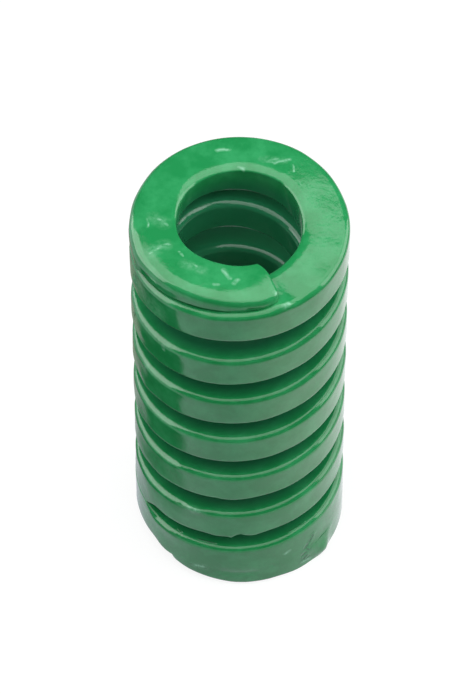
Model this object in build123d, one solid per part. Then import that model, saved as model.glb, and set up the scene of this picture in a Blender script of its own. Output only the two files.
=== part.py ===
"""Die spring: one rectangular wire coiled right-handed, closed and ground at both ends.

Millimetres, +Z along the coil's axis, origin where the axis meets the ground lower end.
Places along the wire are counted in turns from its lower tip. The side that faces -Y is
the front: an angle of 0 is the front and 90 is +X.
"""

from build123d import *
from math import ceil, cos, pi, radians, sin
import os

os.makedirs("parts", exist_ok=True)

# Driving dimensions
outside_diameter = 19.0
bore_diameter = 10.8
free_length = 41.0
wire_height = 3.45
edge_bevel = 0.42
turns = 8.17

# The end turns lie almost on their neighbours, and grinding thins each of them to a tip
closing_gap = 0.12
closed_turns = 1.0
lower_tip_thickness = 1.5
upper_tip_thickness = 1.1
tip_round_share = 0.32
lower_tip_angle = -40.0

# How fast the pitch opens and closes, in turns, and the wider gap under the top turn
lower_lead = 0.5
upper_lead = 0.25
wide_turn = 0.75
wide_turn_lead = 0.2
wide_turn_extra = 0.35

# Sizes tied to the ones above
outer_radius = outside_diameter / 2
bore_radius = bore_diameter / 2
mid_radius = (outer_radius + bore_radius) / 2
wire_width = outer_radius - bore_radius
closed_pitch = wire_height + closing_gap
lower_tip_centre = lower_tip_thickness - wire_height / 2
upper_tip_centre = free_length - upper_tip_thickness + wire_height / 2
tip_turns = wire_width / (2 * pi * mid_radius)
tip_round = tip_round_share * wire_width

# How the wire is built up: short lengths, drawn too wide and then trimmed
turns_per_length = 0.4
curve_steps = 8
over_width = 0.3
over_turns = 0.02


def opening_stations():
    """Places along the wire, each with its share of the full opening between turns."""
    opened = closed_turns + lower_lead
    closing = turns - closed_turns - upper_lead
    widened = closing - wide_turn
    return [
        (0, 0),
        (closed_turns, 0),
        (opened, 1),
        (widened - wide_turn_lead, 1),
        (widened, 1 + wide_turn_extra),
        (closing, 1 + wide_turn_extra),
        (turns - closed_turns, 0),
        (turns, 0),
    ]


def opening_sum(place):
    """The opening's share added up from the lower tip to a place along the wire."""
    total = 0
    stations = opening_stations()
    for (start, low), (end, high) in zip(stations, stations[1:]):
        reach = min(place, end)
        if reach > start:
            share = low + (high - low) * (reach - start) / (end - start)
            total += (reach - start) * (low + share) / 2
    return total


full_opening = (upper_tip_centre - lower_tip_centre - closed_pitch * turns) / opening_sum(turns)


def centre_height(place):
    """Height of the wire's centre line at a place along it."""
    return lower_tip_centre + closed_pitch * place + full_opening * opening_sum(place)


def angle_at(place):
    """Angle round the axis at a place along the wire."""
    return radians(lower_tip_angle + 360 * place)


def round_the_axis(place, radius, height):
    """A point at a radius and a height, at the angle of a place along the wire."""
    return Vector(radius * sin(angle_at(place)), -radius * cos(angle_at(place)), height)


def section_sides():
    """Corners of the wire's section, down its outer side and then up its inner side.

    Each is a distance from the axis and a height over the centre line. The section's four
    edges are bevelled, and each bevel runs on past the wire's side.
    """
    up = wire_height / 2
    run_out = edge_bevel + over_width
    outer_side = [
        (outer_radius - edge_bevel, up),
        (outer_radius + over_width, up - run_out),
        (outer_radius + over_width, run_out - up),
        (outer_radius - edge_bevel, -up),
    ]
    inner_side = [(2 * mid_radius - radius, up) for radius, up in reversed(outer_side)]
    return outer_side, inner_side


def corner_curve(start, end, radius, up):
    """The curve that one corner of the section draws from one place to another."""
    shares = [step / curve_steps for step in range(curve_steps + 1)]
    places = [start + (end - start) * share for share in shares]
    points = [round_the_axis(place, radius, centre_height(place) + up) for place in places]
    return Edge.make_spline(points, parameters=shares)


def end_cap(place):
    """The section as a flat face at a place along the wire."""
    outer_side, inner_side = section_sides()
    corners = outer_side + inner_side
    points = [round_the_axis(place, radius, centre_height(place) + up) for radius, up in corners]
    return Face(Wire.make_polygon(points, close=True))


def flat_side(inner, outer):
    """The upper or lower side of the wire, stretched evenly between its two edges."""
    first_end = Edge.make_line(inner @ 0, outer @ 0)
    second_end = Edge.make_line(inner @ 1, outer @ 1)
    return Face.make_surface([inner, second_end, outer, first_end])


def wide_wire(start, end):
    """A short length of the wire with its sides still too wide."""
    outer, inner = (
        [corner_curve(start, end, radius, up) for radius, up in side] for side in section_sides()
    )
    faces = [flat_side(inner[-1], outer[0]), flat_side(inner[0], outer[-1])]
    for curves in (outer, inner):
        faces += [Face.make_surface_from_curves(*pair) for pair in zip(curves, curves[1:])]
    return Solid(Shell(faces + [end_cap(start), end_cap(end)]))


def ring_sector(start, end):
    """The part of the ring between bore and outside that two places span, seen from above."""
    places = (start, (start + end) / 2, end)
    inner = [round_the_axis(place, bore_radius, 0) for place in places]
    outer = [round_the_axis(place, outer_radius, 0) for place in places]
    outline = [
        Edge.make_three_point_arc(*inner),
        Edge.make_line(inner[2], outer[2]),
        Edge.make_three_point_arc(*reversed(outer)),
        Edge.make_line(outer[0], inner[0]),
    ]
    return Face(Wire(outline))


def trimmed_wire(start, end):
    """A short length of the wire, trimmed by bore, outside and the two ground ends."""
    sector = ring_sector(start - over_turns, end + over_turns)
    return wide_wire(start, end) & extrude(sector, free_length, dir=(0, 0, 1))


def tip(free_end, seat):
    """A thinned end of the wire, rounded at its two corners seen from above."""
    beyond = over_turns if seat > free_end else -over_turns
    sector = ring_sector(*sorted((free_end, seat + beyond)))
    end_middle = round_the_axis(free_end, mid_radius, 0)
    free_corners = sector.vertices().sort_by_distance(end_middle)[:2]
    rounded = sector.fillet_2d(tip_round, free_corners)
    length = wide_wire(*sorted((free_end - beyond, seat)))
    return length & extrude(rounded, free_length, dir=(0, 0, 1))


def outside_faces(length, cuts):
    """The faces of a length of wire, without those at the cuts to the next lengths."""
    kept = []
    for face in length.faces():
        at_cut = False
        for place in cuts:
            onward = Vector(cos(angle_at(place)), sin(angle_at(place)), 0)
            flat = face.geom_type == GeomType.PLANE and abs(face.normal_at().Z) < 0.5
            at_cut = at_cut or (flat and abs(face.center().dot(onward)) < over_turns)
        if not at_cut:
            kept.append(face)
    return kept


def spring():
    """The coiled wire, made of short lengths joined face to face, with a tip at each end."""
    first = tip_turns
    last = turns - tip_turns
    count = ceil((last - first) / turns_per_length)
    places = [first + (last - first) * number / count for number in range(count + 1)]
    faces = outside_faces(tip(0, first), [first])
    for start, end in zip(places, places[1:]):
        faces += outside_faces(trimmed_wire(start, end), [start, end])
    faces += outside_faces(tip(turns, last), [last])
    return Solid(Shell(faces))


if __name__ == "__main__":
    export_step(spring(), "parts/spring.step")
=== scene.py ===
"""Die spring, finished in glossy green enamel and stood on a pale floor.

Metres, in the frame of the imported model: +Z along the coil's axis, and -Y is the front.
"""

from math import cos, pi, radians, sin

import bpy
import numpy as np
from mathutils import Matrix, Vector, noise


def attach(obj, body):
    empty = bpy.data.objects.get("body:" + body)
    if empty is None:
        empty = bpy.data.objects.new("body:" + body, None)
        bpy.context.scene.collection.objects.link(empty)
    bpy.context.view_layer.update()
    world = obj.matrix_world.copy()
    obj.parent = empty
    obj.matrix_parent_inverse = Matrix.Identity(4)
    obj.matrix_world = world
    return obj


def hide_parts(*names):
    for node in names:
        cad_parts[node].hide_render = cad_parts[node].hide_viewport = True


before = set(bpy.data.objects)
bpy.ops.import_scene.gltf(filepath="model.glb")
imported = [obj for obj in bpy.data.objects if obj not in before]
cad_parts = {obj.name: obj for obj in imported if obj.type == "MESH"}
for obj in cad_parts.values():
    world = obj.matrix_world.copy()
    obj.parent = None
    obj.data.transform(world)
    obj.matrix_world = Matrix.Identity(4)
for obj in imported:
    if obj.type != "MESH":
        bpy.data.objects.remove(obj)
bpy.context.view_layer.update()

# The spring
# One rectangular steel wire, coiled hot, right-handed. Both ends are closed and ground flat,
# and the whole coil is dipped in thick enamel, which rounds its edges and runs into its seams.

mm = 0.001
outside_diameter = 19.0 * mm
bore_diameter = 10.8 * mm
free_length = 41.0 * mm
wire_height = 3.45 * mm
turns = 8.17
closing_gap = 0.12 * mm
closed_turns = 1.0
lower_tip_thickness = 1.5 * mm
upper_tip_thickness = 1.1 * mm
lower_tip_angle = -40.0
lower_lead = 0.5
upper_lead = 0.25
wide_turn = 0.75
wide_turn_lead = 0.2
wide_turn_extra = 0.35

mid_radius = (outside_diameter + bore_diameter) / 4
half_width = (outside_diameter - bore_diameter) / 4
half_height = wire_height / 2
closed_pitch = wire_height + closing_gap
lower_tip_centre = lower_tip_thickness - half_height
upper_tip_centre = free_length - upper_tip_thickness + half_height

# How far the gap between turns is opened, from the lower tip to the upper one
opened = closed_turns + lower_lead
closing = turns - closed_turns - upper_lead
widened = closing - wide_turn
station_places = [
    0,
    closed_turns,
    opened,
    widened - wide_turn_lead,
    widened,
    closing,
    turns - closed_turns,
    turns,
]
station_shares = [0, 0, 1, 1, 1 + wide_turn_extra, 1 + wide_turn_extra, 0, 0]
fine_count = 8171
fine_places = np.linspace(0, turns, fine_count)
fine_shares = np.interp(fine_places, station_places, station_shares)
share_steps = (fine_shares[1:] + fine_shares[:-1]) / 2 * np.diff(fine_places)
fine_sums = np.concatenate([[0], np.cumsum(share_steps)])
full_opening = (upper_tip_centre - lower_tip_centre - closed_pitch * turns) / fine_sums[-1]


def centre_height(place):
    """Height of the wire's centre line, from its place along the wire in turns."""
    opening_sum = np.interp(place, fine_places, fine_sums)
    return lower_tip_centre + closed_pitch * place + full_opening * opening_sum


def ramp(value, start, end):
    """0 before start, 1 after end, and an even curve between."""
    share = np.clip((value - start) / (end - start), 0, 1)
    return share * share * (3 - 2 * share)


def window(value, start, end, fade):
    """1 between start and end, fading to 0 outside them."""
    return ramp(value, start - fade, start) * (1 - ramp(value, end, end + fade))


# Places of the rings of the mesh: close together on the two tips, even between them
stations_per_turn = 132
tip_rings = 22
tip_length = 2.0 * mm
upper_tip_reach = 0.007
lower_tip_reach = 0.02
length_per_turn = 2 * pi * mid_radius
tip_steps = tip_length / length_per_turn * (1 - np.cos(np.linspace(0, pi / 2, tip_rings)))
first_place = -lower_tip_reach
last_place = turns + upper_tip_reach
body_start = first_place + tip_steps[-1]
body_end = last_place - tip_steps[-1]
first_body = int(body_start * stations_per_turn) + 1
last_body = int(body_end * stations_per_turn)
body_places = np.arange(first_body, last_body + 1) / stations_per_turn
places = np.concatenate([first_place + tip_steps, body_places, last_place - tip_steps[::-1]])
angles = lower_tip_angle + 360 * places
from_lower_tip = (places - first_place) * length_per_turn
from_upper_tip = (last_place - places) * length_per_turn

# Angles of the turns at the two ends, counted so that 0 is the front on each
full_turn = 360
last_front = 8 * full_turn
upper_angles = angles - last_front
above_lower = angles - full_turn
below_upper = upper_angles + full_turn

# The seam over the lowest turn opens past the front, and is closed again for a stretch at the left
front_seam_fade = 12
front_seam_end = (100, 140)
left_seam_start = (225, 276)
left_seam_end = (293, 307)


def lower_closing(turned, start):
    """Where the seam over the lowest turn is closed: its front, and again at its left end."""
    at_front = ramp(turned, start - front_seam_fade, start) * (1 - ramp(turned, *front_seam_end))
    at_left = ramp(turned, *left_seam_start) * (1 - ramp(turned, *left_seam_end))
    return np.maximum(at_front, at_left)


# Enamel closes the seam under the upper tip, and hides the one over the lower tip altogether
upper_seam_fade = 8
lower_seam = lower_closing(angles, -60)
over_lower_seam = lower_closing(above_lower, -44)
upper_seam = window(upper_angles, -4, 40, upper_seam_fade)
under_upper_seam = window(below_upper, -4, 24, upper_seam_fade)

seam_overlap = 0.04 * mm
middle = centre_height(places)
gap_above = centre_height(places + 1) - middle - wire_height
gap_below = middle - centre_height(places - 1) - wire_height
filled_above = (gap_above / 2 + seam_overlap) * np.maximum(lower_seam, under_upper_seam)
filled_below = (gap_below / 2 + seam_overlap) * np.maximum(over_lower_seam, upper_seam)
low = middle - half_height - filled_below
high = middle + half_height + filled_above
low = np.maximum(low, 0)
high = np.minimum(high, free_length)

# The lower tip is worn to a wedge, which enamel runs on under the next turn
underside_angles = [-48, -45, -40, -36, -30, -18, -4, 4]
underside_heights = [1.40, 1.25, 0.80, 0.66, 0.48, 0.28, 0.06, 0]
low = np.maximum(low, np.interp(angles, underside_angles, np.array(underside_heights) * mm))

# Rounds at the outer edges of the section, across and up. Both seams at the lower tip are flush,
# the thin upper tip has its edges dressed, and the rim beside the lower tip is crisp.
edge_round = 0.58 * mm
low_round = 0.45 * mm
seam_round = 0.002 * mm
dressed_across = 0.22 * mm
dressed_up = 0.5 * mm
dressed_low = 0.2 * mm
crisp_rim = 0.38 * mm
dressed = ramp(upper_angles, -120, -70)
outer_high_across = edge_round + (seam_round - edge_round) * lower_seam - dressed_across * dressed
outer_high_up = outer_high_across + dressed_up * dressed
outer_low_across = low_round + (seam_round - low_round) * over_lower_seam - dressed_low * dressed
outer_low_across = outer_low_across - crisp_rim * window(angles, 40, 130, 20)
outer_low_up = outer_low_across

# Rounds at the bore's edges: a broad bevel at the back of the top, and sharper to the upper tip
bore_across, bore_up = 0.8 * mm, 0.6 * mm
back_across, back_up = 0.1 * mm, 0.3 * mm
sharper_across, sharper_up = 0.6 * mm, 0.4 * mm
at_bore_back = window(upper_angles, -300, -160, 60)
sharper = ramp(upper_angles, -150, -60)
inner_high_across = bore_across + back_across * at_bore_back - sharper_across * sharper
inner_high_up = bore_up - back_up * at_bore_back - sharper_up * sharper
inner_low_across = low_round - dressed_low * dressed
inner_low_up = inner_low_across
thickness = high - low
most_rounded = 0.96


def fit_rounds(first, second, room):
    """Two rounds that share one side, scaled back where the side is too short for both."""
    scale = np.minimum(1, most_rounded * room / (first + second))
    return first * scale, second * scale


outer_high_up, outer_low_up = fit_rounds(outer_high_up, outer_low_up, thickness)
inner_high_up, inner_low_up = fit_rounds(inner_high_up, inner_low_up, thickness)


def corner_loss(distance, length, depth):
    """How far a rounded corner of a tip is set in, at a distance from the tip's end."""
    share = np.clip(1 - distance / length, 0, 1)
    return depth * (1 - np.sqrt(1 - share * share))


# Seen from above: rounded tips, the upper one bent in towards the axis, and a slight waist. The
# top turn is narrower at its back.
tip_corner = 1.3 * mm
upper_outer_corner = (1.9 * mm, 0.75 * mm)
upper_inner_corner = (1.0 * mm, 1.9 * mm)
upper_tip_bend = 0.55 * mm
waist = 0.06 * mm
back_narrowing = 0.15 * mm
bend = upper_tip_bend * ramp(upper_angles, -78, -12)
squeeze = waist * window(middle, 12 * mm, 32 * mm, 7 * mm)
at_top_back = window(upper_angles, -220, -140, 50)
outer = mid_radius + half_width - bend - squeeze
inner = mid_radius - half_width - bend + back_narrowing * at_top_back
outer = outer - corner_loss(from_lower_tip, tip_corner, tip_corner)
inner = inner + corner_loss(from_lower_tip, tip_corner, tip_corner)
outer = outer - corner_loss(from_upper_tip, *upper_outer_corner)
inner = inner + corner_loss(from_upper_tip, *upper_inner_corner)

# The enamel rounds the end of each tip over
end_round = 0.18 * mm
end_loss = corner_loss(np.minimum(from_lower_tip, from_upper_tip), end_round, end_round)
outer = outer - end_loss
inner = inner + end_loss
low = low + end_loss
high = high - end_loss

# The section's outline: four rounded corners with straight sides between
corner_points = 7
corner_turns = np.linspace(0, pi / 2, corner_points)
side_shares = np.array([0.0012, 0.02, 0.1, 0.24, 0.4, 0.6, 0.76, 0.9, 0.98, 0.9988])
room_across = outer - inner
high_rounds = fit_rounds(outer_high_across, inner_high_across, room_across)
low_rounds = fit_rounds(outer_low_across, inner_low_across, room_across)
corner_list = [
    (outer, high, high_rounds[0], outer_high_up, 1, 1, pi / 2),
    (outer, low, low_rounds[0], outer_low_up, 1, -1, 0),
    (inner, low, low_rounds[1], inner_low_up, -1, -1, -pi / 2),
    (inner, high, high_rounds[1], inner_high_up, -1, 1, -pi),
]
arcs = []
for edge, level, wide, tall, outward, upward, start in corner_list:
    turn = start - corner_turns[None, :]
    across = (edge - outward * wide)[:, None] + wide[:, None] * np.cos(turn)
    up = (level - upward * tall)[:, None] + tall[:, None] * np.sin(turn)
    arcs.append(np.stack([across, up], axis=2))
outline = []
for arc, following in zip(arcs, arcs[1:] + arcs[:1]):
    leave = arc[:, -1:, :]
    arrive = following[:, :1, :]
    outline += [arc, leave + (arrive - leave) * side_shares[None, :, None]]
outline = np.concatenate(outline, axis=1)

radius = outline[:, :, 0]
level = outline[:, :, 1]

# Towards the upper tip the ground face falls away to a soft bevel along its outer edge
bevel_angles = [-150, -125, -100, -77, -55, -41, -21, -10, 3, 12, 22]
bevel_starts = [9.2, 8.8, 8.3, 8.3, 8.4, 8.4, 8.2, 8.0, 7.8, 7.3, 6.2]
bevel_drops = [0, 0.12, 0.35, 0.5, 0.5, 0.38, 0.26, 0.22, 0.2, 0.22, 0.28]
narrowest_bevel = 0.1 * mm
bevel_curve = 1.2
bevel_start = np.interp(upper_angles, bevel_angles, np.array(bevel_starts) * mm)
bevel_drop = np.interp(upper_angles, bevel_angles, np.array(bevel_drops) * mm)
bevel_drop = bevel_drop * (upper_angles > bevel_angles[0])
bevel_width = np.maximum(outer - bevel_start, narrowest_bevel)
fall = np.clip((radius - bevel_start[:, None]) / bevel_width[:, None], 0, 1) ** bevel_curve
height_share = np.clip((level - low[:, None]) / (high - low)[:, None], 0, 1)
level = level - bevel_drop[:, None] * fall * height_share

# Just past the upper tip, the turn under it leans out a little
most_lean = 0.18 * mm
lean = most_lean * ramp(upper_angles, -342, -332) * (1 - ramp(upper_angles, -328, -250))
level = level + lean[:, None] * height_share * (outer[:, None] - radius) / room_across[:, None]

# The back of the top turn is set back a little
top_turn_shift = 0.15 * mm
turn = np.radians(angles)[:, None]
backwards = -radius * np.cos(turn) + top_turn_shift * at_top_back[:, None]
points = np.stack([radius * np.sin(turn), backwards, level], axis=2)
rings, around = radius.shape

faces = []
for ring in range(rings - 1):
    for step in range(around):
        a = ring * around + step
        b = ring * around + (step + 1) % around
        faces.append((a, b, b + around, a + around))
faces.append(tuple(range(around))[::-1])
faces.append(tuple(range((rings - 1) * around, rings * around)))
mesh = bpy.data.meshes.new("enamelled_coil")
mesh.from_pydata(points.reshape(-1, 3).tolist(), [], faces)
mesh.validate()
mesh.update()
mesh.polygons.foreach_set("use_smooth", [True] * len(mesh.polygons))

# The enamel lies unevenly: broad waves, finer ripples, and runs and lumps where it gathered
broad_wave, broad_depth = 2.2 * mm, 0.035 * mm
fine_wave, fine_depth = 0.8 * mm, 0.009 * mm
left_side_extra = 1.0
ground_top_calm = 0.65


def at(angle, distance, height):
    """A point at an angle round the axis, a distance from it and a height, the last two in mm."""
    return Vector((distance * sin(radians(angle)), -distance * cos(radians(angle)), height)) * mm


# Each lump: its middle, its size across in mm, and how far it moves the surface, in mm
lumps = [
    (at(52, 9.3, 0.9), 0.9, (0.42, -0.30, 0.05)),
    (at(46, 9.4, 2.0), 0.6, (0.16, -0.12, 0)),
    (at(57, 9.3, 2.2), 0.5, (0.12, -0.08, 0)),
    (at(-8, 9.5, 1.75), 0.35, (0, 0.1, 0)),
    (at(-3, 9.5, 1.7), 0.35, (0, 0.1, 0)),
    (at(2, 9.5, 1.7), 0.35, (0, 0.1, 0)),
    (at(7, 9.5, 1.75), 0.35, (0, 0.1, 0)),
    (at(-12, 9.4, 7.4), 0.7, (0, -0.03, -0.14)),
    (at(-4.5, 9.4, 7.5), 0.45, (0, -0.05, -0.22)),
    (at(-0.5, 9.4, 7.6), 0.28, (0, 0.05, 0.38)),
    (at(8, 9.4, 7.4), 0.8, (0, -0.04, -0.2)),
    (at(-3, 9.4, 13.0), 1.2, (0, -0.03, -0.14)),
    (at(-13.3, 9.4, 13.2), 0.3, (0, 0, 0.12)),
    (at(-23.6, 9.35, 10.35), 0.34, (-0.1, -0.24, 0.26)),
    (at(-28, 9.35, 10.25), 0.3, (-0.09, -0.18, 0.2)),
    (at(-34, 9.3, 15.6), 0.35, (-0.06, -0.1, 0.14)),
    (at(-45, 9.3, 19.8), 0.35, (-0.06, -0.06, 0.1)),
    (at(-67, 9.4, 39.1), 0.5, (-0.12, -0.04, 0)),
    (at(-72, 9.4, 36.5), 0.4, (-0.12, -0.04, 0)),
    (at(-63, 9.4, 30.6), 0.4, (-0.1, -0.05, 0)),
    (at(-66, 9.4, 24.5), 0.4, (-0.1, -0.05, 0)),
    (at(25.5, 9.1, 39.75), 0.4, (0.08, -0.15, 0.16)),
    (at(21, 8.9, 39.9), 0.35, (0.02, -0.05, 0.14)),
    (at(137, 5.6, 40.6), 0.35, (-0.08, 0.08, 0)),
]
normals = np.zeros(len(mesh.vertices) * 3)
mesh.vertices.foreach_get("normal", normals)
normals = normals.reshape(-1, 3)
surface = points.reshape(-1, 3)
moves = np.zeros(len(surface))
for index, point in enumerate(surface):
    here = Vector(point)
    broad = broad_depth * noise.noise(here / broad_wave)
    moves[index] = broad + fine_depth * noise.noise(here / fine_wave)
moves = moves * (1 + left_side_extra * ramp(-surface[:, 0], 3 * mm, 8 * mm))
moves = moves * (1 - ground_top_calm * ramp(surface[:, 2], 40.2 * mm, 40.9 * mm))

# The two sides of a closed seam move straight out together, so that it doesn't open
shortest_normal = 0.1
seamed = np.repeat(np.maximum(lower_seam, over_lower_seam), around)
normals[:, 2] = normals[:, 2] * (1 - seamed)
lengths = np.maximum(np.linalg.norm(normals, axis=1), shortest_normal)
normals = normals / lengths[:, None]
surface = surface + normals * moves[:, None]
for middle_point, size, move in lumps:
    gap = np.linalg.norm(surface - np.array(middle_point), axis=1)
    surface = surface + np.exp(-((gap / (size * mm)) ** 2))[:, None] * np.array(move) * mm
surface[:, 2] = np.clip(surface[:, 2], 0, free_length)
mesh.vertices.foreach_set("co", surface.ravel())
mesh.update()
coil = bpy.data.objects.new("enamelled_coil", mesh)
bpy.context.collection.objects.link(coil)

enamel = bpy.data.materials.new("green_enamel_gloss")
enamel.use_nodes = True
nodes = enamel.node_tree.nodes
links = enamel.node_tree.links
shader = nodes["Principled BSDF"]
shader.inputs["IOR"].default_value = 1.55

# Marks in the enamel, each a stroke from one point to another, with its width in mm
pale_marks = [
    (at(194, 8.0, 41), at(190, 8.0, 41), 0.22),
    (at(190, 8.0, 41), at(186, 7.85, 41), 0.17),
    (at(161, 7.0, 41), at(155.5, 7.1, 41), 0.15),
    (at(155.5, 7.1, 41), at(147, 8.1, 41), 0.19),
    (at(161, 7.05, 41), at(153.8, 7.6, 41), 0.13),
    (at(143, 7.7, 41), at(139.7, 7.2, 41), 0.15),
    (at(181, 6.05, 40.9), at(176, 5.85, 40.8), 0.2),
    (at(131.7, 6.8, 41), at(128, 6.7, 41), 0.15),
    (at(-65, 8.4, 41), at(-66.5, 7.4, 41), 0.2),
    (at(-66.5, 7.4, 41), at(-66.7, 6.6, 41), 0.24),
    (at(-91.6, 7.95, 41), at(-85, 7.85, 41), 0.15),
    (at(-91.4, 6.9, 41), at(-84.8, 6.2, 41), 0.22),
    (at(-56.7, 6.2, 41), at(-51.3, 6.2, 41), 0.16),
    (at(-41, 6.2, 41), at(-36, 6.1, 41), 0.17),
    (at(-14.7, 5.45, 41), at(-10.8, 5.85, 41), 0.26),
    (at(-10.8, 5.85, 41), at(-8, 6.3, 41), 0.24),
    (at(-2.0, 6.5, 41), at(-4.2, 6.85, 41), 0.3),
    (at(-16.8, 7.3, 40.95), at(-14.2, 7.2, 40.95), 0.22),
    (at(-25, 9.5, 1.75), at(-20.5, 9.5, 2.0), 0.3),
    (at(26, 9.5, 3.4), at(29, 9.5, 3.55), 0.24),
    (at(37, 9.5, 0.75), at(43, 9.5, 0.55), 0.3),
    (at(-29, 9.5, 10.3), at(-23, 9.55, 10.4), 0.36),
    (at(24, 9.3, 39.9), at(27, 9.2, 39.9), 0.3),
    (at(21, 8.1, 40.9), at(22.5, 8.5, 40.6), 0.24),
    (at(-44.6, 9.5, 32.9), at(-44, 9.5, 31.8), 0.2),
]

# Smudges are broader and fainter, creases are dark with painted shade, and rough patches are
# wrinkled
smudges = [
    (at(-66, 8.2, 41), at(-67, 6.9, 41), 0.8),
    (at(-92, 7.4, 41), at(-87, 6.4, 41), 0.8),
    (at(-45, 6.6, 41), at(-30, 6.3, 41), 0.6),
    (at(163, 7.2, 41), at(150, 7.6, 41), 0.5),
    (at(-66, 9.5, 37.0), at(-48, 9.5, 36.6), 1.6),
    (at(-58, 9.5, 34.6), at(-53, 9.5, 33.0), 0.6),
    (at(-70, 9.5, 31.6), at(-72, 9.5, 29.6), 0.6),
    (at(-60, 9.5, 27.0), at(-62, 9.5, 25.6), 0.6),
    (at(-26, 9.5, 1.75), at(-19, 9.5, 2.0), 0.5),
    (at(-31, 9.5, 10.2), at(-21, 9.5, 10.3), 0.6),
]
creases = [
    (at(37.2, 9.5, 1.9), at(38.8, 9.5, 2.05), 0.24),
    (at(38, 9.5, 1.3), at(40, 9.5, 1.5), 0.22),
    (at(40.5, 9.5, 0.9), at(42, 9.5, 1.0), 0.2),
    (at(39, 9.5, 2.7), at(40.5, 9.5, 3.0), 0.22),
    (at(42.5, 9.5, 3.3), at(44.5, 9.5, 3.7), 0.2),
]
rough_patches = [
    (at(39, 9.5, 1.2), at(41, 9.5, 2.6), 0.8),
    (at(41, 9.5, 2.6), at(45, 9.5, 4.0), 0.5),
    (at(-66, 9.5, 39.4), at(-72, 9.5, 36.2), 0.6),
    (at(-72, 9.5, 33.5), at(-76, 9.5, 30.5), 0.5),
]
place_on = nodes.new("ShaderNodeTexCoord")


def node(kind, operation=None, **values):
    """A new node with its operation and plain input values set."""
    made = nodes.new(kind)
    if operation:
        made.operation = operation
    for name, value in values.items():
        made.inputs[int(name[1:])].default_value = value
    return made


def speckle(size, detail, roughness=0.5):
    """A cloudy pattern on the coil, with its grain size in mm."""
    made = nodes.new("ShaderNodeTexNoise")
    made.inputs["Scale"].default_value = 1 / (size * mm)
    made.inputs["Detail"].default_value = detail
    made.inputs["Roughness"].default_value = roughness
    links.new(place_on.outputs["Object"], made.inputs["Vector"])
    return made


def graded(source, low_in, high_in, low_out, high_out):
    """A value carried from one range to another."""
    made = node("ShaderNodeMapRange", _1=low_in, _2=high_in, _3=low_out, _4=high_out)
    links.new(source, made.inputs[0])
    return made.outputs[0]


def joined(operation, first, second):
    """Two links, or a link and a number, through one sum."""
    made = node("ShaderNodeMath", operation)
    links.new(first, made.inputs[0])
    if isinstance(second, float):
        made.inputs[1].default_value = second
    else:
        links.new(second, made.inputs[1])
    return made.outputs[0]


def blend(mask, first, second):
    """Two colours, or a colour over a link, mixed by a mask."""
    made = nodes.new("ShaderNodeMix")
    made.data_type = "RGBA"
    links.new(mask, made.inputs["Factor"])
    for socket, value in ((made.inputs["A"], first), (made.inputs["B"], second)):
        if isinstance(value, tuple):
            socket.default_value = value
        else:
            links.new(value, socket)
    return made.outputs["Result"]


# Places are shaken a little, so that no stroke runs straight or has a clean edge
most_shake = 0.25 * mm
shake = node("ShaderNodeVectorMath", "MULTIPLY_ADD")
shake.inputs[1].default_value = (2 * most_shake,) * 3
shake.inputs[2].default_value = (-most_shake,) * 3
links.new(speckle(1.1, 2, 0.35).outputs["Color"], shake.inputs[0])
shaken = node("ShaderNodeVectorMath", "ADD")
links.new(place_on.outputs["Object"], shaken.inputs[0])
links.new(shake.outputs[0], shaken.inputs[1])


def marks(strokes):
    """A mask that is 1 in the middle of every stroke and 0 away from it."""
    mask = None
    for start, end, width in strokes:
        along = end - start
        from_start = node("ShaderNodeVectorMath", "SUBTRACT", _1=start)
        links.new(shaken.outputs[0], from_start.inputs[0])
        onto = node("ShaderNodeVectorMath", "DOT_PRODUCT", _1=along / along.length_squared)
        links.new(from_start.outputs[0], onto.inputs[0])
        share = node("ShaderNodeClamp")
        links.new(onto.outputs["Value"], share.inputs[0])
        nearest = node("ShaderNodeVectorMath", "SCALE", _0=along)
        links.new(share.outputs[0], nearest.inputs["Scale"])
        away = node("ShaderNodeVectorMath", "DISTANCE")
        links.new(from_start.outputs[0], away.inputs[0])
        links.new(nearest.outputs[0], away.inputs[1])
        stroke = graded(away.outputs["Value"], 0.1 * width * mm, width * mm, 1.0, 0.0)
        mask = stroke if mask is None else joined("MAXIMUM", mask, stroke)
    return mask


enamel_green = (0.014, 0.272, 0.074, 1)
enamel_thin = (0.034, 0.350, 0.116, 1)
enamel_scuffed = (0.21, 0.56, 0.33, 1)
# The next colour is darker, bruised enamel, and also painted shade in creases and wrinkle hollows
bruised_and_shaded = (0.004, 0.1, 0.036, 1)
# The next colour is painted shade, for the bore and the faces between the turns
painted_bore_shade = (0.021, 0.205, 0.086, 1)
cloud = graded(speckle(2.6, 4, 0.6).outputs["Fac"], 0.42, 0.68, 0.0, 1.0)
colour = blend(cloud, enamel_green, enamel_thin)

# In the bore and between the turns the green is painted deeper and bluer, as painted shade where
# little light reaches
spot = node("ShaderNodeSeparateXYZ")
links.new(place_on.outputs["Object"], spot.inputs[0])
level_spot = node("ShaderNodeVectorMath", "MULTIPLY", _1=(1, 1, 0))
links.new(place_on.outputs["Object"], level_spot.inputs[0])
from_axis = node("ShaderNodeVectorMath", "LENGTH")
links.new(level_spot.outputs[0], from_axis.inputs[0])
inside = graded(from_axis.outputs["Value"], 7.9 * mm, 9.1 * mm, 1.0, 0.0)
below_top = graded(spot.outputs["Z"], 38.6 * mm, 40.2 * mm, 1.0, 0.0)
colour = blend(joined("MULTIPLY", inside, below_top), colour, painted_bore_shade)
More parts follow.
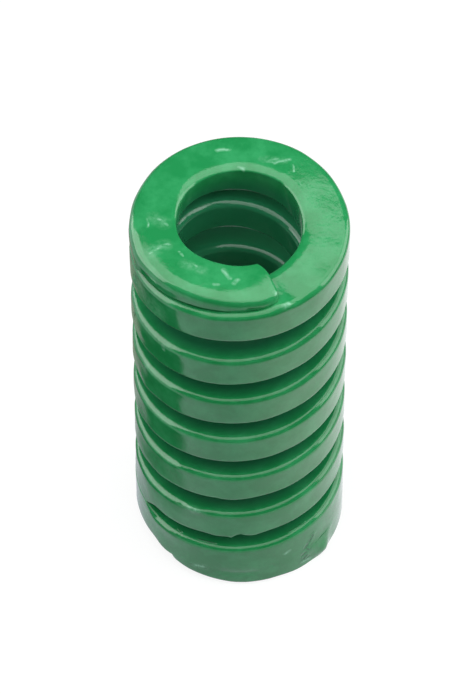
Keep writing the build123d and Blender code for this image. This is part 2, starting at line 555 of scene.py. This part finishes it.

# Scuffs are paler than the enamel round them, and bruises are darker; creases and the hollows of
# wrinkles are darkened as painted shade
grain = graded(speckle(0.4, 3, 0.5).outputs["Fac"], 0.36, 0.56, 0.25, 1.0)
pale_mask = joined("MULTIPLY", marks(pale_marks), grain)
streaks = graded(speckle(0.45, 3, 0.55).outputs["Fac"], 0.38, 0.66, 0.08, 0.42)
smudge_mask = joined("MULTIPLY", marks(smudges), streaks)
pale_mask = joined("MAXIMUM", pale_mask, smudge_mask)
rough_mask = marks(rough_patches)
wrinkle = speckle(0.28, 3, 0.6).outputs["Fac"]
# Darker where the wrinkles are low: painted shade in their hollows, over the bruised enamel
bruise_and_shade = joined("MULTIPLY", rough_mask, graded(wrinkle, 0.43, 0.5, 0.8, 0.0))
crease_mask = marks(creases)
# The creases are darkened too, as painted shade
bruise_and_shade = joined("MAXIMUM", bruise_and_shade, joined("MULTIPLY", crease_mask, 0.85))
colour = blend(pale_mask, colour, enamel_scuffed)
colour = blend(bruise_and_shade, colour, bruised_and_shaded)
links.new(colour, shader.inputs["Base Color"])

# The gloss is uneven, and duller on scuffs and rough patches
most_gloss, least_gloss = 0.07, 0.13
scuff_dulling, patch_dulling = 0.2, 0.3
gloss = graded(speckle(0.9, 5, 0.6).outputs["Fac"], 0.35, 0.7, most_gloss, least_gloss)
dulled = joined("MULTIPLY", pale_mask, scuff_dulling)
dulled = joined("ADD", dulled, joined("MULTIPLY", rough_mask, patch_dulling))
links.new(joined("ADD", gloss, dulled), shader.inputs["Roughness"])

# The skin of the enamel: a faint ripple, wrinkles in the rough patches, and sunken creases
wrinkle_height, crease_height = 3.0, -2.5
rough_height = joined("MULTIPLY", joined("MULTIPLY", rough_mask, wrinkle), wrinkle_height)
height = joined("ADD", speckle(0.55, 4, 0.55).outputs["Fac"], rough_height)
height = joined("ADD", height, joined("MULTIPLY", crease_mask, crease_height))
skin = nodes.new("ShaderNodeBump")
skin.inputs["Strength"].default_value = 0.25
skin.inputs["Distance"].default_value = 0.06 * mm
links.new(height, skin.inputs["Height"])
links.new(skin.outputs["Normal"], shader.inputs["Normal"])
coil.data.materials.append(enamel)
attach(coil, "root")
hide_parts("spring")

# The floor
# A plain white sheet. Straight to the camera it is near white, and the coil's shadow shows on it.
# The glossy coil sees a painted reflection on it: white at the right, greyer in the middle, and
# painted shade at the left.

floor_mesh = bpy.data.meshes.new("floor")
floor_reach = 1.5
floor_height = -0.03 * mm
floor_corners = [(-1, -1), (1, -1), (1, 1), (-1, 1)]
floor_points = [(x * floor_reach, y * floor_reach, floor_height) for x, y in floor_corners]
floor_mesh.from_pydata(floor_points, [], [(0, 1, 2, 3)])
floor = bpy.data.objects.new("floor", floor_mesh)
bpy.context.collection.objects.link(floor)
paper = bpy.data.materials.new("white_sheet")
paper.use_nodes = True
nodes = paper.node_tree.nodes
links = paper.node_tree.links
matt = nodes["Principled BSDF"]
matt.inputs["Base Color"].default_value = (0.38, 0.38, 0.38, 1)
matt.inputs["Roughness"].default_value = 0.9
matt.inputs["Specular IOR Level"].default_value = 0.0
glow = nodes.new("ShaderNodeEmission")
glow.inputs["Color"].default_value = (1, 1, 1, 1)
glow.inputs["Strength"].default_value = 0.86
dim = nodes.new("ShaderNodeBsdfDiffuse")
dim.inputs["Color"].default_value = (0.18, 0.18, 0.18, 1)
seen = nodes.new("ShaderNodeAddShader")
links.new(glow.outputs[0], seen.inputs[0])
links.new(dim.outputs[0], seen.inputs[1])

# The painted reflection that the enamel sees on the sheet fades out with distance from its lit
# middle
place_on = nodes.new("ShaderNodeTexCoord")


def across_sheet(normal, point, soft):
    """A mask that rises from 0 to 1 across a line on the sheet, through a point in mm."""
    made = node("ShaderNodeVectorMath", "SUBTRACT", _1=(point[0] * mm, point[1] * mm, 0))
    links.new(place_on.outputs["Object"], made.inputs[0])
    depth = node("ShaderNodeVectorMath", "DOT_PRODUCT", _1=(normal[0], normal[1], 0))
    links.new(made.outputs[0], depth.inputs[0])
    return graded(depth.outputs["Value"], -soft * mm, soft * mm, 0.0, 1.0)


def inside_all(sides):
    """A patch of the sheet that is 1 where every one of its sides is 1."""
    patch = sides[0]
    for side in sides[1:]:
        patch = joined("MULTIPLY", patch, side)
    return patch


# These colours are a painted reflection, seen only by glossy rays; the last is a painted shade
painted_reflection_middle = (0.77, 0.78, 0.88, 1)
painted_reflection_right = (1.22, 1.22, 1.22, 1)
painted_reflection_behind_left = (0.34, 0.36, 0.3, 1)
painted_reflection_shade = (0.01, 0.01, 0.01, 1)
far_share = 0.06
lit_middle = node("ShaderNodeVectorMath", "DISTANCE", _1=(-150 * mm, 200 * mm, 0))
links.new(place_on.outputs["Object"], lit_middle.inputs[0])
near = graded(lit_middle.outputs["Value"], 290 * mm, 340 * mm, 1.0, far_share)
shaded = inside_all([
    across_sheet((-0.408, 0.913), (-13, -12), 1.2),
    across_sheet((-1, 0), (-14, 0), 5),
    across_sheet((1, 0), (-44, 0), 3),
    across_sheet((-0.484, -0.875), (-13, 4), 6),
])
behind_left = inside_all([
    across_sheet((0, 1), (0, 8), 8),
    across_sheet((-1, 0), (0, 0), 4),
    across_sheet((1, 0), (-44, 0), 3),
])
painted_reflection_colour = blend(across_sheet((1, 0), (9, 0), 11), painted_reflection_middle, painted_reflection_right)
painted_reflection_colour = blend(behind_left, painted_reflection_colour, painted_reflection_behind_left)
painted_reflection_colour = blend(shaded, painted_reflection_colour, painted_reflection_shade)
mirrored = nodes.new("ShaderNodeEmission")
links.new(painted_reflection_colour, mirrored.inputs["Color"])
links.new(near, mirrored.inputs["Strength"])
path = nodes.new("ShaderNodeLightPath")
for_camera = nodes.new("ShaderNodeMixShader")
links.new(path.outputs["Is Camera Ray"], for_camera.inputs["Fac"])
links.new(matt.outputs[0], for_camera.inputs[1])
links.new(seen.outputs[0], for_camera.inputs[2])
# Glossy rays see the painted reflection in place of the sheet
for_gloss = nodes.new("ShaderNodeMixShader")
links.new(path.outputs["Is Glossy Ray"], for_gloss.inputs["Fac"])
links.new(for_camera.outputs[0], for_gloss.inputs[1])
links.new(mirrored.outputs[0], for_gloss.inputs[2])
links.new(for_gloss.outputs[0], nodes["Material Output"].inputs["Surface"])
floor_mesh.materials.append(paper)

# The light
# Two soft boxes overhead, a panel at each side, and a faint even fill from the room. Each side
# panel is a pair in one place: one lamp for its light, and one for its gleam in the enamel.


def soft_box(name, place, size, watts, aim):
    """A flat soft light aimed at a point."""
    lamp = bpy.data.lights.new(name, "AREA")
    lamp.shape = "RECTANGLE"
    lamp.size, lamp.size_y = size
    lamp.energy = watts
    holder = bpy.data.objects.new(name, lamp)
    holder.location = place
    direction = Vector(aim) - Vector(place)
    holder.rotation_euler = direction.to_track_quat("-Z", "Y").to_euler()
    bpy.context.collection.objects.link(holder)
    return holder


soft_box("overhead_box", (0, 0.04, 0.45), (0.62, 0.455), 1.97, aim=(0, 0.04, 0))
soft_box("front_box", (0, -0.34, 0.45), (0.6, 0.3), 0.92, aim=(0, -0.34, 0))
left_panel = soft_box("left_panel", (-0.45, 0.12, 0.32), (0.6, 0.6), 1.0, aim=(0, 0.12, 0.32))
left_panel.visible_glossy = False
right_panel = soft_box("right_panel", (0.45, 0, 0.3), (0.5, 0.5), 1.5, aim=(0, 0, 0.3))
right_panel.visible_glossy = False
left_gleam = soft_box("left_gleam", (-0.44, 0.12, 0.32), (0.6, 0.6), 4.0, aim=(0, 0.12, 0.32))
left_gleam.visible_diffuse = False
right_gleam = soft_box("right_gleam", (0.44, 0.1, 0.3), (0.5, 0.5), 2.4, aim=(0, 0.1, 0.3))
right_gleam.visible_diffuse = False

world = bpy.data.worlds.new("studio")
bpy.context.scene.world = world
world.use_nodes = True
nodes = world.node_tree.nodes
links = world.node_tree.links
fill = nodes["Background"]
fill.inputs["Color"].default_value = (0.7, 0.85, 1, 1)
fill.inputs["Strength"].default_value = 0.08
white = nodes.new("ShaderNodeBackground")
white.inputs["Color"].default_value = (1, 1, 1, 1)
white.inputs["Strength"].default_value = 1.0
path = nodes.new("ShaderNodeLightPath")
choice = nodes.new("ShaderNodeMixShader")
links.new(path.outputs["Is Camera Ray"], choice.inputs["Fac"])
links.new(fill.outputs[0], choice.inputs[1])
links.new(white.outputs[0], choice.inputs[2])
links.new(choice.outputs[0], nodes["World Output"].inputs["Surface"])

# The camera
# It looks down on the front at 53 degrees from 0.41 m, through a long lens.

image_width, image_height = 459, 694
focal_pixels = 4627.8
view_elevation = 52.8
view_distance = 0.412
aim_height = 0.0205
aim_pixel = (239.52, 365.5)
camera_data = bpy.data.cameras.new("camera")
camera_data.sensor_fit = "VERTICAL"
camera_data.sensor_height = 36.0
camera_data.lens = focal_pixels / image_height * camera_data.sensor_height
camera_data.shift_x = (image_width / 2 - aim_pixel[0]) / image_height
camera_data.shift_y = (aim_pixel[1] - image_height / 2) / image_height
camera_data.clip_start = 0.01
camera = bpy.data.objects.new("camera", camera_data)
tilt = radians(view_elevation)
camera.location = (0, -view_distance * cos(tilt), aim_height + view_distance * sin(tilt))
camera.rotation_euler = (pi / 2 - tilt, 0, 0)
bpy.context.collection.objects.link(camera)
bpy.context.scene.camera = camera

bpy.context.scene.view_settings.view_transform = "Standard"
